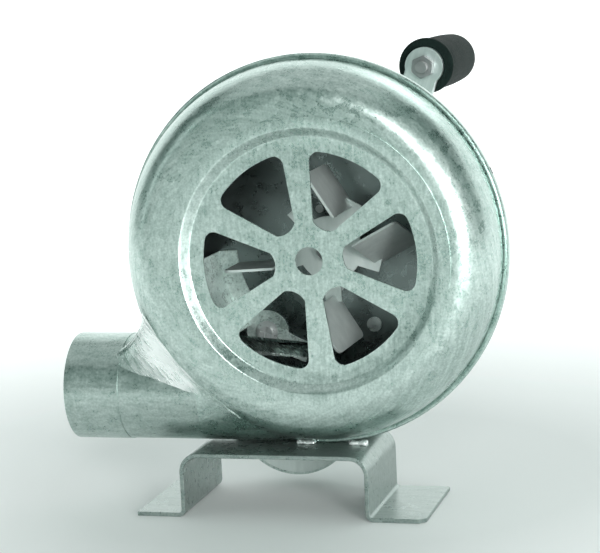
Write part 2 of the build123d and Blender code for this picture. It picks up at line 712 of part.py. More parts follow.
def arm_outline():
    """Flat bar with a round end at each bolt, drawn along +x."""
    bar = Pos(ARM_LENGTH / 2, 0) * Rectangle(ARM_LENGTH, CRANK_ARM_W)
    ends = Circle(ARM_END_R) + Pos(ARM_LENGTH, 0) * Circle(ARM_END_R)
    outline = bar + ends
    return outline - Rectangle(SQUARE, SQUARE) - Pos(ARM_LENGTH, 0) * Circle(GRIP_BOLT_R + SNUG)


def crank_arm():
    arm = prism(arm_outline(), ARM_Y, ARM_Y + ARM_T, CRANK_X, CRANK_Z, 90 - ARM_TILT)
    faces = arm.edges().group_by(Axis.Y)
    long_edges = [e for e in faces[0] + faces[-1] if e.length > ARM_LENGTH / 2]
    return chamfer(long_edges, 0.4)


def crank_washer():
    return tube(CRANK_WASHER_R, SHAFT_R + SNUG, ARM_Y + ARM_T, ARM_Y + ARM_T + WASHER_T, CRANK_X, CRANK_Z)


def crank_nut():
    start = ARM_Y + ARM_T + WASHER_T
    return nut(NUT_AF, SHAFT_R, start, start + NUT_T, CRANK_X, CRANK_Z, ARM_TILT)


def grip():
    """Turned grip: a flange next to the arm, a groove, then a barrelled body with a rounded end."""
    inner = GRIP_BORE_R
    end = GRIP_LENGTH
    step = GRIP_STEP
    start = GRIP_BARREL_FROM
    shoulder = (GRIP_R - 0.75 * step, end - 4 * step)
    crown_r = GRIP_R - 5 * step
    outline = Polyline((inner, 0), (GRIP_FLANGE_R - step, 0), (GRIP_FLANGE_R, step),
                       (GRIP_FLANGE_R, start - 4 * step), (GRIP_R - 2 * step, start - 3 * step),
                       (GRIP_R - 2 * step, start - step), (GRIP_R - step, start))
    outline += ThreePointArc((GRIP_R - step, start), (GRIP_R, end / 2), shoulder)
    outline += ThreePointArc(shoulder, (GRIP_R - 2 * step, end - step), (crown_r, end))
    outline += Polyline((crown_r, end), (GRIP_SINK_R, end), (GRIP_SINK_R, end - GRIP_SINK),
                        (inner, end - GRIP_SINK), (inner, 0))
    return Pos(GRIP_X, GRIP_Y, GRIP_Z) * revolve(make_face(outline), Axis.Y)


def grip_washer():
    return tube(GRIP_WASHER_R, GRIP_BOLT_R + SNUG, ARM_Y + ARM_T, ARM_Y + ARM_T + WASHER_T, GRIP_X, GRIP_Z)


def grip_bolt():
    """Long bolt: round head sunk in the far end of the grip, thread through the arm and its nut."""
    under = GRIP_BACK - GRIP_SINK + GRIP_HEAD_GAP
    shank = rod(GRIP_BOLT_R, ARM_Y - NUT_T - THREAD_PAST, under, GRIP_X, GRIP_Z)
    return shank + rod(GRIP_HEAD_R, under, under + GRIP_HEAD_T, GRIP_X, GRIP_Z)


def grip_nut():
    return nut(NUT_AF, GRIP_BOLT_R, ARM_Y - NUT_T, ARM_Y, GRIP_X, GRIP_Z, ARM_TILT)


wall = casing_wall()
write("front_shell", front_shell(wall))
write("rear_shell", rear_shell(wall))
write("intake_grille", intake_grille())
write("outlet_tube", outlet_tube())
write("outlet_braze", outlet_braze())
write("stand", stand())
write("stand_welds", stand_welds())
write("tongue_strip", tongue_strip())
write("tongue_screw", tongue_screw())
write("tongue_nut", tongue_nut())
write("impeller", impeller())
write("impeller_hub", impeller_hub())
write("impeller_nut", impeller_nut())
write("fan_shaft", fan_shaft())
write("fan_pinion", fan_pinion())
write("fan_bush_front", fan_bush_front())
write("fan_bush_rear", cover_bush(0, 0))
write("layshaft", layshaft())
write("lay_gear", lay_gear())
write("lay_pinion", lay_pinion())
write("lay_bush_front", lay_bush_front())
write("lay_bush_rear", cover_bush(LAY_X, LAY_Z))
write("crank_shaft", crank_shaft())
write("crank_gear", crank_gear())
write("crank_gear_clip", crank_gear_clip())
write("crank_bush", crank_bush())
write("gear_case_plate", gear_case_plate())
write("gear_case_cover", gear_case_cover())
write("gear_case_screws", gear_case_screws())
write("case_rivets", case_rivets())
write("crank_arm", crank_arm())
write("crank_washer", crank_washer())
write("crank_nut", crank_nut())
write("grip", grip())
write("grip_washer", grip_washer())
write("grip_bolt", grip_bolt())
write("grip_nut", grip_nut())
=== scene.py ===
import bmesh
import bpy
import json
from math import cos, degrees, exp, pi, radians, sin
from mathutils import Matrix, Vector, noise


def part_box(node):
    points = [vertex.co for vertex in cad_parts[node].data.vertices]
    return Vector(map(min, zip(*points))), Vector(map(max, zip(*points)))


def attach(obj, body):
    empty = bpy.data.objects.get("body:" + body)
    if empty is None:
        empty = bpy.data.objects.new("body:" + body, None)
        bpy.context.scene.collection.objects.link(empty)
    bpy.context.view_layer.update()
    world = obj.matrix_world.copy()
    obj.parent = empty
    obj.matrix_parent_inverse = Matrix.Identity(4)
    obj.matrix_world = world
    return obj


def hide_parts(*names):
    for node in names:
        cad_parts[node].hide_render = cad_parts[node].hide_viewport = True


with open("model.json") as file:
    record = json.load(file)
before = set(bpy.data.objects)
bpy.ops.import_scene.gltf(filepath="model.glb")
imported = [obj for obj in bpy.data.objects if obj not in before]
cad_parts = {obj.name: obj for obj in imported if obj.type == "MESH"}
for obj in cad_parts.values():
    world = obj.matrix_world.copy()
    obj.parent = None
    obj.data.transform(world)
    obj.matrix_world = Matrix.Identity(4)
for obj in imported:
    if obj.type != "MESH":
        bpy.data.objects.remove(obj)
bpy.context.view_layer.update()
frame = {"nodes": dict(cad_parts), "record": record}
nodes = frame["nodes"]
print("loaded", len(nodes), "nodes")


def mm(length):
    return length / 1000


def corners(node):   # low corner, high corner and middle of a CAD node
    low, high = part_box(node)
    return low, high, (low + high) / 2


grilleLow, _, grilleMid = corners("intake_grille")   # places that several pieces and finishes use
tubeLow, _, tubeMid = corners("outlet_tube")
rearLow, rearHigh, _ = corners("rear_shell")
gripLow, gripHigh, gripMid = corners("grip")
frontLow = corners("front_shell")[0]
fanX = grilleMid.x
seamY = tubeMid.y
casingX = rearHigh.x - (rearHigh.z - rearLow.z) / 2
casingZ = (rearLow.z + rearHigh.z) / 2
inside = Vector((casingX, (grilleLow.y + rearHigh.y) / 2, casingZ))


class Wire:   # a socket that sums, multiplies and so on by adding Math nodes
    def __init__(self, tree, socket):
        self.tree = tree
        self.socket = socket

    def math(self, operation, *others, clamp=False):
        step = self.tree.nodes.new("ShaderNodeMath")
        step.operation = operation
        step.use_clamp = clamp
        for slot, value in zip(step.inputs, (self,) + others):
            if isinstance(value, Wire):
                self.tree.links.new(value.socket, slot)
            else:
                slot.default_value = value
        return Wire(self.tree, step.outputs[0])

    def __add__(self, other):
        return self.math("ADD", other)

    __radd__ = __add__

    def __mul__(self, other):
        return self.math("MULTIPLY", other)

    __rmul__ = __mul__

    def __sub__(self, other):
        return self.math("SUBTRACT", other)

    def __rsub__(self, other):
        return (self * -1.0) + other

    def __truediv__(self, other):
        return self.math("DIVIDE", other)

    def __pow__(self, other):
        return self.math("POWER", other)

    def clamped(self):
        return self.math("ADD", 0.0, clamp=True)


def setStops(ramp, stops):   # colour stops in order: position and colour
    while len(ramp.elements) < len(stops):
        ramp.elements.new(0.5)
    for stop, (position, color) in zip(ramp.elements, stops):
        stop.position = position
        stop.color = (*color, 1)


class Finish:   # one material: adds nodes and sets the main shader
    def __init__(self, name, **constants):
        self.material = bpy.data.materials.new(name)
        self.material.use_nodes = True
        self.tree = self.material.node_tree
        self.shader = self.tree.nodes["Principled BSDF"]
        for socket, value in constants.items():
            self.shader.inputs[socket.replace("_", " ")].default_value = value
        self.place = self.node("ShaderNodeTexCoord", {}, {}).outputs["Object"]

    def node(self, kind, settings, sockets):
        made = self.tree.nodes.new(kind)
        for key, value in settings.items():
            if key == "stops":
                setStops(made.color_ramp, value)
            else:
                setattr(made, key, value)
        for key, value in sockets.items():
            if isinstance(value, Wire):
                self.tree.links.new(value.socket, made.inputs[key])
            elif isinstance(value, bpy.types.NodeSocket):
                self.tree.links.new(value, made.inputs[key])
            else:
                made.inputs[key].default_value = value
        return made

    def wire(self, socket):
        return Wire(self.tree, socket)

    def parts(self, centre=(0, 0, 0)):   # x, y and z of the surface point, from a centre
        moved = self.node("ShaderNodeVectorMath", {"operation": "SUBTRACT"}, {0: self.place, 1: centre})
        split = self.node("ShaderNodeSeparateXYZ", {}, {0: moved.outputs[0]})
        return [self.wire(split.outputs[i]) for i in range(3)]

    def joined(self, x, y, z):
        return self.node("ShaderNodeCombineXYZ", {}, {0: x, 1: y, 2: z}).outputs[0]

    def noise(self, scale, detail, roughness=0.55, vector=None):
        made = self.node("ShaderNodeTexNoise", {}, {
            "Vector": vector if vector is not None else self.place,
            "Scale": scale, "Detail": detail, "Roughness": roughness})
        return self.wire(made.outputs["Fac"])

    def lines(self, fine, detail, roughness=0.55):   # stretched noise: how fine it is along x, y and z
        x, y, z = self.parts()
        return self.noise(1.0, detail, roughness, self.joined(x * fine[0], y * fine[1], z * fine[2]))

    def cells(self, scale, output="Color"):
        made = self.node("ShaderNodeTexVoronoi", {"feature": "F1"}, {"Vector": self.place, "Scale": scale})
        return made.outputs[output]

    def mix(self, factor, first, second):
        made = self.node("ShaderNodeMix", {"data_type": "RGBA"}, {0: factor, 6: first, 7: second})
        return made.outputs[2]

    def ramp(self, factor, *stops):
        return self.node("ShaderNodeValToRGB", {"stops": stops}, {"Fac": factor}).outputs["Color"]

    def facing(self, centre):   # 1 where a wall looks back at the centre, 0 on the outside
        geometry = self.node("ShaderNodeNewGeometry", {}, {})
        away = self.node("ShaderNodeVectorMath", {"operation": "SUBTRACT"}, {0: self.place, 1: centre})
        dot = self.node("ShaderNodeVectorMath", {"operation": "DOT_PRODUCT"},
                        {0: geometry.outputs["True Normal"], 1: away.outputs[0]})
        return self.wire(dot.outputs["Value"]).math("LESS_THAN", 0.0)

    def done(self, color, rough, height=None, depth=0.0):   # depth of the bump in mm
        self.tree.links.new(color, self.shader.inputs["Base Color"])
        self.tree.links.new(rough.socket, self.shader.inputs["Roughness"])
        if height is not None:
            bump = self.node("ShaderNodeBump", {}, {"Height": height, "Strength": 1.0, "Distance": mm(depth)})
            self.tree.links.new(bump.outputs[0], self.shader.inputs["Normal"])
        return self.material


def tint(red, green, blue):
    return (red, green, blue, 1)


def shared(patterns, shares, base=0.0):   # patterns added up, each times its share
    total = base
    for name, share in shares.items():
        total = patterns[name] * share + total
    return total


def patternsOf(finish, look):   # the plain and the stretched noises that a look lists
    made = {name: finish.noise(*values) for name, values in look.get("noises", {}).items()}
    made.update({name: finish.lines(*values) for name, values in look.get("lines", {}).items()})
    return made


def surface(patterns, look):   # roughness, height of the bump and its depth
    return shared(patterns, *look["rough"]), shared(patterns, look["height"]), look["bump"]


def twoTone(finish, look, **more):   # dark and light mixed by the look's shares
    patterns = {**patternsOf(finish, look), **more}
    color = finish.mix(shared(patterns, *look["mixer"]).clamped(), look["dark"], look["light"])
    return finish.done(color, *surface(patterns, look))


sheetLook = {   # galvanised sheet: crystal spangle, fine speckle and a grain given by the piece; inner is painted shade for the walls inside the casing
    "pale": tint(0.73, 0.83, 0.795), "dull": tint(0.30, 0.41, 0.375), "inner": tint(0.20, 0.235, 0.23),
    "noises": {"patches": (14, 4), "speckle": (950, 3), "waves": (36, 2)}, "spangle": 260,
    "mixer": ({"patches": 0.45, "crystal": 0.2, "speckle": 1.2, "grain": 1.1}, -0.98),
    "rough": ({"speckle": 0.16, "crystal": 0.08, "grain": 0.10, "patches": 0.20}, 0.04),
    "height": {"grain": 0.5, "speckle": 0.4, "crystal": 0.1, "waves": 4.5},
}


def sheetBase(finish, grain, dark=None, tone=1.0):
    look = sheetLook
    spangle = finish.node("ShaderNodeSeparateColor", {}, {0: finish.cells(look["spangle"])})
    patterns = {**patternsOf(finish, look), "crystal": finish.wire(spangle.outputs[0]), "grain": grain}
    # tone scales both colours; on the stand it paints shade and on the tongue it paints light
    dull, pale = [tint(*[part * tone for part in look[key][:3]]) for key in ("dull", "pale")]
    color = finish.mix(shared(patterns, *look["mixer"]).clamped(), dull, pale)
    # dark masks the walls that take the inner tint: painted shade inside the casing
    if dark is not None:
        color = finish.mix(dark, color, look["inner"])
    return color, shared(patterns, *look["rough"]), shared(patterns, look["height"])


casingLook = {"rings": 520, "along": 14, "bump": 0.06}


def casingSheet():   # grain runs round the casing, as spinning leaves it; walls that face into the casing get painted shade
    look = casingLook
    finish = Finish("casing_sheet", Metallic=1.0)
    x, y, z = finish.parts((casingX, 0, casingZ))
    radius = (x * x + z * z) ** 0.5
    turned = finish.joined(radius * look["rings"], y * look["rings"], 0.0)
    along = finish.joined(x / radius * look["along"], z / radius * look["along"], 0.0)
    vector = finish.node("ShaderNodeVectorMath", {"operation": "ADD"}, {0: turned, 1: along}).outputs[0]
    grain = finish.noise(1.0, 3, vector=vector)
    return finish.done(*sheetBase(finish, grain, finish.facing(inside)), look["bump"])


brushedLook = {   # grain's scale along x, y and z, tone of the colours, and metallic share; the stand's low tone is painted shade and the tongue's high tone is painted light
    "tube_sheet": ((110, 420, 420), 0.86, 1.0),
    "grille_sheet": ((700, 700, 130), 1.0, 1.0),
    # stand: its tone darkens both colours as painted shade
    "stand_sheet": ((110, 420, 330), 0.55, 0.8),
    "case_sheet": ((420, 90, 420), 0.95, 0.75),
    # tongue: its tone lightens both colours as painted light inside the casing
    "tongue_sheet": ((300, 90, 300), 1.2, 0.25),
}
brushedGrain = {"detail": 4, "roughness": 0.6, "bump": 0.05}


def brushedSheet(name):   # grain runs in straight brushed lines
    fine, tone, metal = brushedLook[name]
    finish = Finish(name, Metallic=metal)
    grain = finish.lines(fine, brushedGrain["detail"], brushedGrain["roughness"])
    return finish.done(*sheetBase(finish, grain, None, tone), brushedGrain["bump"])


innerLook = {
    "dark": tint(0.46, 0.54, 0.52), "light": tint(0.82, 0.90, 0.87),
    "noises": {"patches": (30, 4)}, "lines": {"scratches": ((300, 300, 60), 3)},
    "mixer": ({"patches": 0.8, "scratches": 0.6}, -0.3), "rough": ({"patches": 0.2, "scratches": 0.12}, 0.22),
    "height": {"scratches": 1.0}, "bump": 0.04,
}


def innerSheet():   # duller sheet that works inside the casing
    return twoTone(Finish("inner_sheet", Metallic=0.45), innerLook)


brazeLook = {   # pale ridges, grey flux in the hollows
    "noises": {"ripples": (300, 5, 0.6), "patches": (90, 3)}, "mixer": {"ripples": 0.6, "patches": 0.5},
    "stops": ((0.38, (0.66, 0.74, 0.72)), (0.60, (0.96, 0.99, 0.98))),
    "rough": ({"ripples": 0.3}, 0.14), "height": {"ripples": 1.0, "patches": 0.6}, "bump": 0.5,
}


def brazeMetal():
    look = brazeLook
    finish = Finish("braze_metal", Metallic=0.7)
    patterns = patternsOf(finish, look)
    color = finish.ramp(shared(patterns, look["mixer"]), *look["stops"])
    return finish.done(color, *surface(patterns, look))


wipedLook = {   # bright where the braze was wiped, near one x, and sheet colour on both sides
    "bright": tint(0.95, 0.99, 0.98), "stops": ((0.40, (0.47, 0.58, 0.54)), (0.60, (0.66, 0.76, 0.725))),
    "at": -0.056, "sharp": 52, "full": 1.15, "edge": {"ripples": 2.6, "patches": 1.2},
    "ripples": (420, 120, 90),
    "noises": {"patches": (130, 3)}, "speckle": (900, 3),
    "rough": ({"ripples": 0.25}, 0.15), "height": {"ripples": 1.0, "patches": 0.6}, "bump": 0.5,
}


def wipedBraze():
    look = wipedLook
    finish = Finish("root_braze", Metallic=1.0)
    x, y, z = finish.parts()
    across, deep, down = look["ripples"]
    ripples = finish.noise(1.0, 4, vector=finish.joined((x + z) * across, y * deep, (x - z) * down))
    patterns = {**patternsOf(finish, look), "ripples": ripples}
    offset = (x - look["at"]) * look["sharp"]
    ragged = {key: patterns[key] - 0.5 for key in look["edge"]}
    smear = (look["full"] - offset * offset + shared(ragged, look["edge"])).clamped()
    plain = finish.ramp(finish.noise(*look["speckle"]), *look["stops"])
    color = finish.mix(smear, plain, look["bright"])
    return finish.done(color, *surface(patterns, look))


zincLook = {
    "dark": tint(0.58, 0.64, 0.63), "light": tint(0.80, 0.84, 0.83),
    "noises": {"clouds": (240, 3), "marks": (1500, 2)},
    "mixer": ({"clouds": 1.2}, -0.1), "rough": ({"clouds": 0.18, "marks": 0.1}, 0.16),
    "height": {"marks": 1.0}, "bump": 0.03,
}


def zincPlate(name, metal):
    return twoTone(Finish(name, Metallic=metal), zincLook)


barLook = {   # drawn flat steel: lines along the bar, light scale
    "lean": 20.8, "across": 900, "down": 30,
    "dark": tint(0.46, 0.53, 0.52), "light": tint(0.76, 0.82, 0.80), "noises": {"clouds": (60, 3)},
    "mixer": ({"drawn": 0.8, "clouds": 0.5}, -0.25), "rough": ({"drawn": 0.2, "clouds": 0.16}, 0.18),
    "height": {"drawn": 1.0}, "bump": 0.04,
}


def flatBar():
    look = barLook
    finish = Finish("flat_bar", Metallic=1.0)
    x, y, z = finish.parts()
    lean = radians(look["lean"])
    across = (x * cos(lean) - z * sin(lean)) * look["across"]
    down = (x * sin(lean) + z * cos(lean)) * look["down"]
    drawn = finish.noise(1.0, 4, vector=finish.joined(across, y * look["across"], down))
    return twoTone(finish, look, drawn=drawn)


turnedLook = {   # lathe rings round the Y axis
    "lines": {"rings": ((0, 2600, 0), 2)}, "noises": {"clouds": (160, 3)},
    "mixer": ({"rings": 0.6, "clouds": 0.6}, -0.2), "rough": ({"rings": 0.15, "clouds": 0.2}, 0.18),
    "height": {"rings": 1.0}, "bump": 0.03,
}
turnedTones = {   # light and dark
    "shaft_steel": (tint(0.66, 0.69, 0.70), tint(0.36, 0.39, 0.40)),
    "gear_steel": (tint(0.46, 0.48, 0.48), tint(0.20, 0.21, 0.21)),
    "bush_bronze": (tint(0.80, 0.58, 0.32), tint(0.48, 0.32, 0.16)),
}


def turnedMetal(name):
    light, dark = turnedTones[name]
    return twoTone(Finish(name, Metallic=1.0), {**turnedLook, "light": light, "dark": dark})


rubberLook = {   # moulded black: fine leathered texture, dusty in patches
    "dark": tint(0.004, 0.009, 0.008), "light": tint(0.016, 0.030, 0.026),
    "noises": {"clouds": (70, 3), "dust": (700, 3)}, "pores": 1100,
    "mixer": ({"clouds": 0.9, "dust": 0.5}, -0.35), "rough": ({"clouds": 0.2, "dust": 0.12}, 0.42),
    "height": {"pores": 1.0}, "bump": 0.25,
}


def blackGrip():
    finish = Finish("black_grip", Specular_IOR_Level=0.04)
    return twoTone(finish, rubberLook, pores=finish.wire(finish.cells(rubberLook["pores"], "Distance")))


finishes = {
    "casing": casingSheet(), "tube": brushedSheet("tube_sheet"), "grille": brushedSheet("grille_sheet"),
    "stand": brushedSheet("stand_sheet"), "case": brushedSheet("case_sheet"),
    "tongue": brushedSheet("tongue_sheet"), "inner": innerSheet(), "braze": brazeMetal(),
    "root": wipedBraze(), "zinc": zincPlate("zinc_plate", 1.0), "screw": zincPlate("screw_zinc", 0.35),
    "bar": flatBar(), "shaft": turnedMetal("shaft_steel"), "gear": turnedMetal("gear_steel"),
    "bronze": turnedMetal("bush_bronze"), "grip": blackGrip(),
}
slotFinish = {
    "galvanised": "casing", "galvanised_grille": "grille", "galvanised_inner": "inner", "braze": "braze",
    "zinc_hardware": "zinc", "crank_steel": "bar", "shaft_steel": "shaft", "gear_steel": "gear",
    "bush_bronze": "bronze", "black_grip": "grip",
}
nodeFinish = {   # nodes that differ from the rest of their slot
    "outlet_tube": "tube", "stand": "stand", "gear_case_cover": "case", "tongue_strip": "tongue",
    "tongue_screw": "screw", "grip_bolt": "gear", "grip_nut": "gear", "impeller_nut": "gear",
    "impeller_hub": "gear",
}
nodeSlot = {part["node"]: part["material_slot"] for part in frame["record"]["subparts"]}
bodies = frame["record"]["behaviour"]["bodies"]
nodeBody = {node: body for body, members in bodies.items() for node in members}


def finishOf(node):
    return finishes[nodeFinish.get(node, slotFinish[nodeSlot[node]])]


def paint(thing, material):
    thing.data.materials.clear()
    thing.data.materials.append(material)


for name, thing in nodes.items():
    paint(thing, finishOf(name))
print("finishes", len(finishes))


def placed(name, data):   # a new object in the scene
    thing = bpy.data.objects.new(name, data)
    bpy.context.scene.collection.objects.link(thing)
    return thing


def addPiece(name, mesh, node, material=None):   # a finished mesh that stands in for a CAD node
    thing = placed(name, mesh)
    paint(thing, material or finishOf(node))
    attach(thing, nodeBody[node])
    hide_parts(node)
    return thing


def meshFrom(work, name, sharp):   # edges above the sharp angle stay crisp
    mesh = bpy.data.meshes.new(name)
    work.to_mesh(mesh)
    work.free()
    mesh.shade_smooth()
    mesh.set_sharp_from_angle(angle=radians(sharp))
    return mesh


copyLook = {"gap": 0.004, "flat": 0.6, "sharp": 32, "shellSharp": 28, "segments": 2, "bevelFrom": 38}
refined = {   # CAD nodes shown through a joined copy with softened edges: edge width in mm
    "intake_grille": 0.3, "outlet_tube": 0.3, "stand": 0.35,
    "tongue_strip": 0.2, "tongue_screw": 0.25, "gear_case_cover": 0.3, "gear_case_screws": 0.25,
    "crank_arm": 0.3, "crank_nut": 0.2, "crank_washer": 0.2, "crank_shaft": 0.25, "grip_nut": 0.2,
    "grip_washer": 0.2, "grip_bolt": 0.3, "impeller": 0.2, "impeller_nut": 0.2, "impeller_hub": 0.2,
    "fan_bush_rear": 0.25, "lay_bush_rear": 0.25, "crank_bush": 0.25,
}
shells = ("front_shell", "rear_shell")   # thin spun sheet: joined and smoothed, edges left crisp


def mergedCopy(node):   # the CAD node's surface as one joined bmesh
    work = bmesh.new()
    work.from_mesh(nodes[node].data)
    bmesh.ops.remove_doubles(work, verts=work.verts, dist=mm(copyLook["gap"]))
    return work


def flatCopy(node):   # the same with its flat faces made whole
    work = mergedCopy(node)
    flat = radians(copyLook["flat"])
    bmesh.ops.dissolve_limit(work, angle_limit=flat, verts=work.verts, edges=work.edges)
    return work


def refine(node, width):
    mesh = meshFrom(flatCopy(node), node + "_mesh", copyLook["sharp"])
    soften = addPiece(node + "_skin", mesh, node).modifiers.new("soft edges", "BEVEL")
    soften.width = mm(width)
    soften.segments = copyLook["segments"]
    soften.limit_method = "ANGLE"
    soften.angle_limit = radians(copyLook["bevelFrom"])
    soften.harden_normals = True
    soften.use_clamp_overlap = True


for name, width in refined.items():
    refine(name, width)
for name in shells:
    addPiece(name + "_skin", meshFrom(mergedCopy(name), name + "_mesh", copyLook["shellSharp"]), name)
print("refined", len(refined) + len(shells))


beadLook = {"voxel": 0.7, "ripple": 0.55, "ripplePerMetre": 260, "finer": 2.7, "smooth": 2, "sharp": 80}


def roughBead(node, name):   # remeshed copy of a bead, rippled as run metal is
    look = beadLook
    helper = placed(name + "_helper", meshFrom(flatCopy(node), name + "_mesh", copyLook["sharp"]))
    remesh = helper.modifiers.new("even", "REMESH")
    remesh.mode = "VOXEL"
    remesh.voxel_size = mm(look["voxel"])
    graph = bpy.context.evaluated_depsgraph_get()
    even = bpy.data.meshes.new_from_object(helper.evaluated_get(graph))
    bpy.data.objects.remove(helper)
    work = bmesh.new()
    work.from_mesh(even)
    for step in range(look["smooth"]):
        bmesh.ops.smooth_vert(work, verts=work.verts, factor=0.5,
                              use_axis_x=True, use_axis_y=True, use_axis_z=True)
    work.normal_update()
    for vert in work.verts:
        spot = vert.co * look["ripplePerMetre"]
        amount = noise.noise(spot) + 0.5 * noise.noise(spot * look["finer"])
        vert.co += vert.normal * amount * mm(look["ripple"])
    return addPiece(name, meshFrom(work, name + "_run", look["sharp"]), node)


roughBead("stand_welds", "weld_beads")
print("beads")


rootLook = {   # fillet at the root of the outlet tube: lengths in mm, turns round the tube in degrees
    "tube": 25.2, "side": 89.0, "frontFlat": 71.0, "backFlat": 72.0, "band": 3.0,
    "least": 3.0, "radius": 9.0, "rise": 0.6, "fade": 0.35, "broad": 22.0, "middle": 30, "width": 24,
    "from": -24, "to": 190, "columns": 130, "arc": 14, "outline": 60, "halvings": 30,
    "under": 0.15, "rim": 8, "steepest": 0.7, "sharp": 70,
    "ripple": 0.7, "streaks": 18, "streakLength": 2.2, "streakRow": 3.1, "streakShare": 0.6, "lumps": 120,
}


def casingOutline():   # radius and y of the casing's outer surface, from the front flat to the back flat
    look = rootLook
    band, side, steps = mm(look["band"]), mm(look["side"]), look["outline"]
    halves = []
    for flat, edge, middle in ((mm(look["frontFlat"]), frontLow.y, seamY - band),
                               (mm(look["backFlat"]), rearHigh.y, seamY + band)):
        turns = [pi / 2 * i / steps for i in range(steps + 1)]
        halves.append([(flat + (side - flat) * sin(t), middle + (edge - middle) * cos(t)) for t in turns])
    return halves[0] + halves[1][::-1]


def nearestOnCasing(outline, point):   # distance to the outline, and the point on it
    radius = ((point.x - casingX) ** 2 + (point.z - casingZ) ** 2) ** 0.5
    gap, best = min(((radius - r) ** 2 + (point.y - y) ** 2, (r, y)) for r, y in outline)
    scale = best[0] / radius
    touch = Vector((casingX + (point.x - casingX) * scale, best[1], casingZ + (point.z - casingZ) * scale))
    return gap ** 0.5, touch


def ballCentre(outline, turn, radius):   # a ball on the tube, moved between mouth and fan by halving
    reach = mm(rootLook["tube"]) + radius
    y, z = seamY - reach * cos(turn), tubeMid.z + reach * sin(turn)
    near, far = tubeLow.x, fanX
    for step in range(rootLook["halvings"]):
        x = (near + far) / 2
        if nearestOnCasing(outline, Vector((x, y, z)))[0] > radius:
            near = x
        else:
            far = x
    return Vector((near, y, z))


def rootRadius(share, turn):
    look = rootLook
    swell = sin(pi * share) ** look["rise"] * (1.0 - look["fade"] * share)
    broad = look["broad"] * exp(-((degrees(turn) - look["middle"]) / look["width"]) ** 2)
    return mm(look["least"] + (look["radius"] - look["least"]) * swell + broad)


def rootSection(outline, share):   # points of one cross-section, the last one under the metal
    look = rootLook
    turn = radians(look["from"] + (look["to"] - look["from"]) * share)
    radius = rootRadius(share, turn)
    centre = ballCentre(outline, turn, radius)
    tube = mm(look["tube"])
    first = Vector((centre.x, seamY - tube * cos(turn), tubeMid.z + tube * sin(turn))) - centre
    last = nearestOnCasing(outline, centre)[1] - centre
    points = []
    for k in range(look["arc"] + 1):
        along = k / look["arc"]
        sink = mm(look["under"]) * (2 * along - 1) ** look["rim"]
        spoke = first.normalized().slerp(last.normalized(), along) * (radius + sink)
        point = centre + spoke
        row = Vector((turn * look["streaks"], along * look["streakLength"], look["streakRow"]))
        streak = noise.noise(row)
        lump = noise.noise(point * look["lumps"])
        raised = (streak * look["streakShare"] + lump) * mm(look["ripple"]) * sin(pi * along)
        points.append(point - spoke.normalized() * raised)
    middle = (first + last).normalized()
    opening = max(middle.dot(first.normalized()), look["steepest"])
    points.append(centre + middle * (radius / opening + mm(2 * look["under"])))
    return points


def outletRoot():   # rolling-ball fillet with a rippled face
    outline = casingOutline()
    work = bmesh.new()
    rings = []
    for i in range(rootLook["columns"] + 1):
        rings.append([work.verts.new(p) for p in rootSection(outline, i / rootLook["columns"])])
    for one, two in zip(rings, rings[1:]):
        for corner in zip(one, one[1:] + one[:1], two[1:] + two[:1], two):
            work.faces.new(corner)
    work.faces.new(rings[0])
    work.faces.new(rings[-1])
    bmesh.ops.recalc_face_normals(work, faces=work.faces)
    mesh = meshFrom(work, "outlet_root_mesh", rootLook["sharp"])
    return addPiece("outlet_root", mesh, "outlet_braze", finishes["root"])


outletRoot()
print("outlet root")


gripLook = {   # lengths in mm; profile points are an inset from a radius and a distance from an end
    "bore": 3.1, "flange": ((1.4, 0.0), (0.4, 0.4), (0.0, 1.4), (0.0, 3.6), (0.5, 4.6)),
    "groove": ((1.6, 5.0), (2.3, 5.6), (2.3, 6.4), (1.6, 7.2)),
    "body": 0.6, "bodyFrom": 8.0, "bodyTo": 3.4, "barrel": 0.6, "steps": 14,
    "end": ((1.2, 1.7), (2.6, 0.5), (4.2, 0.0)), "well": 9.0, "wellChamfer": 0.4, "wellDepth": 5.0,
    "segments": 96, "sharp": 50,
}


def gripProfile(outer, length):   # radius and distance from the flange's face
    look = gripLook
    body, steps = outer - mm(look["body"]), look["steps"]
    start, run = mm(look["bodyFrom"]), length - mm(look["bodyFrom"]) - mm(look["bodyTo"])
    well, chamfer, floor = mm(look["well"]), mm(look["wellChamfer"]), length - mm(look["wellDepth"])
    profile = [(mm(look["bore"]), 0.0)]
    profile += [(outer - mm(inset), mm(along)) for inset, along in look["flange"] + look["groove"]]
    for i in range(steps + 1):
        profile.append((body - mm(look["barrel"]) * (2 * i / steps - 1) ** 2, start + run * i / steps))
    profile += [(body - mm(inset), length - mm(back)) for inset, back in look["end"]]
    profile += [(well, length), (well - chamfer, length - chamfer), (well - chamfer, floor)]
    return profile + [(mm(look["bore"]), floor)]


def gripPiece():   # the profile spun round the grip bolt
    profile = gripProfile((gripHigh.x - gripLow.x) / 2, gripHigh.y - gripLow.y)
    work = bmesh.new()
    line = [work.verts.new((gripMid.x + r, gripLow.y + y, gripMid.z)) for r, y in profile]
    edges = [work.edges.new(pair) for pair in zip(line, line[1:])]
    edges.append(work.edges.new((line[-1], line[0])))
    bmesh.ops.spin(work, geom=line + edges, cent=gripMid, axis=(0, 1, 0), angle=2 * pi,
                   steps=gripLook["segments"], use_merge=True, use_duplicate=False)
    bmesh.ops.remove_doubles(work, verts=work.verts, dist=mm(copyLook["gap"]))
    bmesh.ops.recalc_face_normals(work, faces=work.faces)
    return addPiece("grip_body", meshFrom(work, "grip_body_mesh", gripLook["sharp"]), "grip")


gripPiece()
print("grip")


viewLook = {"azimuth": 15.6, "elevation": 8.9, "distance": 1.0, "lens": 121, "roll": -2.7, "clip": 0.05,
            "aim": (0.0, 0.0, 0.110), "right": -0.0090, "up": -0.0089}


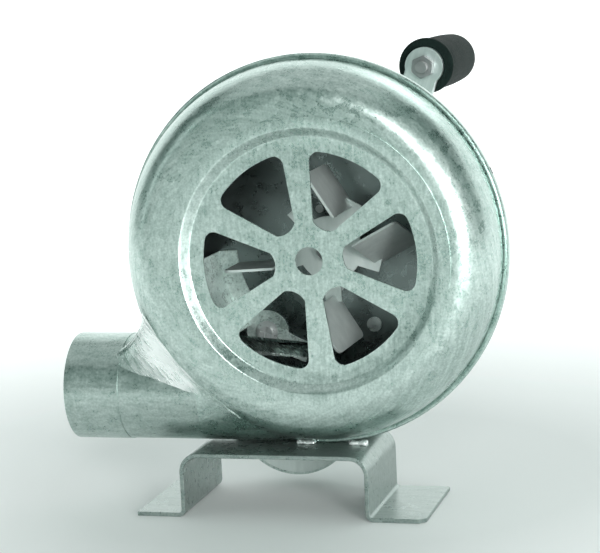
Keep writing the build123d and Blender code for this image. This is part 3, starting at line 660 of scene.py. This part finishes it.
def placeCamera():
    look = viewLook
    azimuth, elevation, roll = (radians(look[k]) for k in ("azimuth", "elevation", "roll"))
    back = Vector((sin(azimuth) * cos(elevation), -cos(azimuth) * cos(elevation), sin(elevation)))
    right = Vector((cos(azimuth), sin(azimuth), 0))
    up = back.cross(right)
    target = Vector(look["aim"]) + right * look["right"] + up * look["up"]
    rolledRight = right * cos(roll) + up * sin(roll)
    rolledUp = up * cos(roll) - right * sin(roll)
    data = bpy.data.cameras.new("camera")
    data.lens = look["lens"]
    data.clip_start = look["clip"]
    camera = placed("camera", data)
    turn = Matrix((rolledRight, rolledUp, back)).transposed().to_4x4()
    camera.matrix_world = Matrix.Translation(target + back * look["distance"]) @ turn
    bpy.context.scene.camera = camera


lightLook = {   # place in metres, width and height, power, colour
    "right band": {"from": (0.98, -1.36, 0.16), "size": (0.42, 0.75), "watts": 24, "color": (1.0, 1.0, 1.0)},
    "front fill": {"from": (0.45, -1.7, 0.75), "size": (0.35, 0.35), "watts": 5, "color": (1.0, 1.0, 1.0)},
    "left sheet": {"from": (-1.5, -0.7, 0.7), "size": (0.25, 1.2), "watts": 1.2, "color": (0.93, 1.0, 0.98)},
    "top sheet": {"from": (-0.3, 0.0, 1.9), "size": (2.6, 2.2), "watts": 9, "color": (1.0, 1.0, 1.0)},
    "back sheet": {"from": (0.5, 1.0, 1.3), "size": (0.9, 0.6), "watts": 2, "color": (0.95, 1.0, 0.99)},
}


def placeLight(name, look):
    data = bpy.data.lights.new(name, "AREA")
    data.shape = "RECTANGLE"
    data.size, data.size_y = look["size"]
    data.energy = look["watts"]
    data.color = look["color"]
    start = Vector(look["from"])
    turn = (start - Vector(viewLook["aim"])).to_track_quat("Z", "Y").to_matrix().to_4x4()
    placed(name, data).matrix_world = Matrix.Translation(start) @ turn


sweepLook = {   # metres; glow whitens the sheet away from the blower and behind it
    "front": -9.0, "flat": (-0.7, -0.2), "bend": 1.3, "radius": 0.9, "top": 3.0, "half": 6.0, "steps": 16,
    "glow": 0.75, "paper": tint(0.82, 0.84, 0.835), "dark": tint(0.0, 0.0, 0.0),
    "white": tint(0.95, 0.96, 0.96), "grey": tint(0.62, 0.71, 0.68),
    "behind": {"slope": 3.5, "start": 2.2, "ragged": 0.2, "glow": 0.75, "least": 0.25},
    "reach": {"slope": 2.2, "start": -0.30}, "rough": (0.1, 0.8), "sharp": 60,
    "noises": {"drift": (2, 2), "uneven": (9, 3)},
}


def sweepMesh():   # one sheet: flat floor that curves up into a backdrop
    look = sweepLook
    profile = [(y, 0.0) for y in (look["front"], *look["flat"])]
    for i in range(look["steps"] + 1):
        turn = pi / 2 * i / look["steps"]
        profile.append((look["bend"] + look["radius"] * sin(turn), look["radius"] * (1 - cos(turn))))
    profile.append((look["bend"] + look["radius"], look["top"]))
    work = bmesh.new()
    rows = [[work.verts.new((side * look["half"], y, z)) for side in (-1, 1)] for y, z in profile]
    for low, high in zip(rows, rows[1:]):
        work.faces.new((low[0], low[1], high[1], high[0]))
    return meshFrom(work, "sweep_mesh", look["sharp"])


def paleFloor():   # grey towards the camera, white behind the blower
    look, depth, reach = sweepLook, sweepLook["behind"], sweepLook["reach"]
    floor = placed("floor", sweepMesh())
    finish = Finish("pale_floor", Emission_Strength=look["glow"])
    patterns = patternsOf(finish, look)
    x, y, z = finish.parts()
    behind = (y * depth["slope"] + depth["start"] + patterns["drift"] * depth["ragged"]).clamped()
    color = finish.mix(behind, look["grey"], look["paper"])
    away = ((x * x + y * y) ** 0.5 * reach["slope"] + reach["start"]).clamped()
    glow = finish.mix(away * (behind * depth["glow"] + depth["least"]), look["dark"], look["white"])
    finish.tree.links.new(glow, finish.shader.inputs["Emission Color"])
    uneven, base = look["rough"]
    paint(floor, finish.done(color, patterns["uneven"] * uneven + base))


worldLook = {
    "scale": 1.15, "detail": 1.0, "strength": 0.85, "front": 0.145, "overhead": 0.13,
    "stops": ((0.34, (0.09, 0.15, 0.135)), (0.47, (0.28, 0.38, 0.35)), (0.58, (0.50, 0.60, 0.57)),
              (0.70, (1.0, 1.0, 1.0))),
}


def softWorld():   # broad soft patches of light and shade, so that the sheet has something to reflect
    look = worldLook
    world = bpy.data.worlds.new("studio")
    bpy.context.scene.world = world
    world.use_nodes = True
    tree = world.node_tree
    around = tree.nodes.new("ShaderNodeTexCoord").outputs["Generated"]
    clouds = tree.nodes.new("ShaderNodeTexNoise")
    clouds.inputs["Scale"].default_value = look["scale"]
    clouds.inputs["Detail"].default_value = look["detail"]
    split = tree.nodes.new("ShaderNodeSeparateXYZ")
    ramp = tree.nodes.new("ShaderNodeValToRGB")
    tree.links.new(around, clouds.inputs["Vector"])
    tree.links.new(around, split.inputs[0])
    y, z = Wire(tree, split.outputs[1]), Wire(tree, split.outputs[2])
    blend = Wire(tree, clouds.outputs["Fac"]) - y * look["front"] - z * look["overhead"]
    tree.links.new(blend.socket, ramp.inputs[0])
    setStops(ramp.color_ramp, look["stops"])
    background = tree.nodes["Background"]
    tree.links.new(ramp.outputs[0], background.inputs[0])
    background.inputs[1].default_value = look["strength"]


placeCamera()
for name, look in lightLook.items():
    placeLight(name, look)
paleFloor()
softWorld()
bpy.context.scene.view_settings.view_transform = "Standard"
print("stage")
